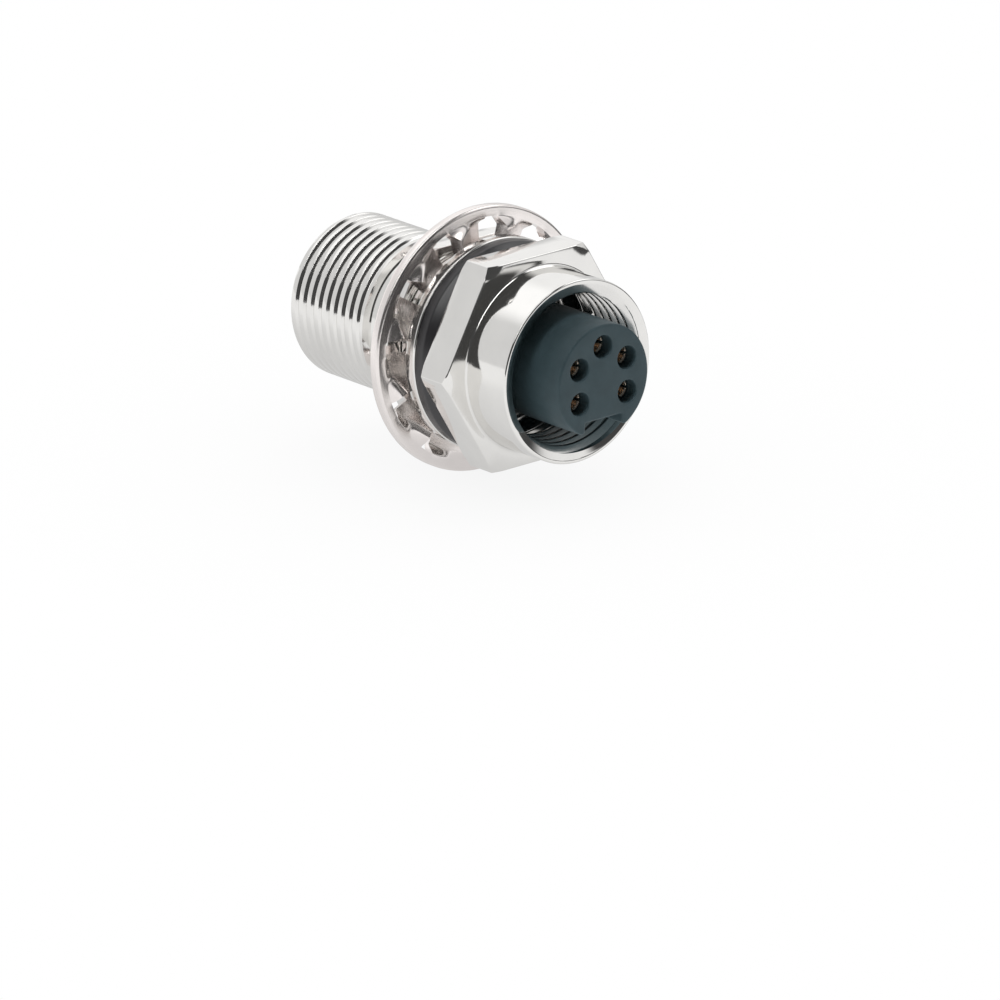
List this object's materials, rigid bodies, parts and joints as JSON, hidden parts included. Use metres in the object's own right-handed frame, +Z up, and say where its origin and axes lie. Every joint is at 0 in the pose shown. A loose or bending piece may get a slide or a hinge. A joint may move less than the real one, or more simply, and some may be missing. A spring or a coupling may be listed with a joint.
{
  "type": "bulkhead adapter",
  "caption": "Circular bulkhead feed-through adapter: keyed socket face in a hex-flanged metal shell, threaded rear barrel with pins, panel gasket, washers and jam nut.",
  "frame": {"origin": "on the axis at the gasket's rear face, where the panel's front face goes", "axes": "+X along the axis towards the socket face, +Z up, with the keyway at -Z"},
  "size_m": [0.0514, 0.0358, 0.0358],
  "materials": {
    "nickel": "bright nickel plate on brass",
    "plated_steel": "bright nickel plate on spring steel",
    "carrier": "moulded, fine matt",
    "seal_rubber": "moulded, satin",
    "potting": "cured compound",
    "contact_gold": "turned, gold plated"
  },
  "bodies": {
    "shell": {"shell": "nickel", "socket_insert": "carrier", "pin_insert": "carrier", "insert_seal": "seal_rubber", "potting_disc": "potting", "contact_1": "contact_gold", "contact_2": "contact_gold", "contact_3": "contact_gold", "contact_4": "contact_gold", "contact_5": "contact_gold", "panel_gasket": "seal_rubber"},
    "washers": {"flat_washer": "nickel", "lock_washer": "plated_steel"},
    "nut": {"jam_nut": "nickel"}
  },
  "joints": [
    {"name": "washer_slide", "type": "slide", "parent": "shell", "child": "washers", "axis": [-1, 0, 0], "range_m": [0, 0.01906]},
    {"name": "nut_turn", "type": "hinge", "parent": "washers", "child": "nut", "pos_m": [0, 0, 0], "axis": [-1, 0, 0], "range_deg": [0, 4320]}
  ],
  "couplings": [
    {"joint": "washer_slide", "follows": "nut_turn", "m_per_rad": 0.00025266}
  ]
}
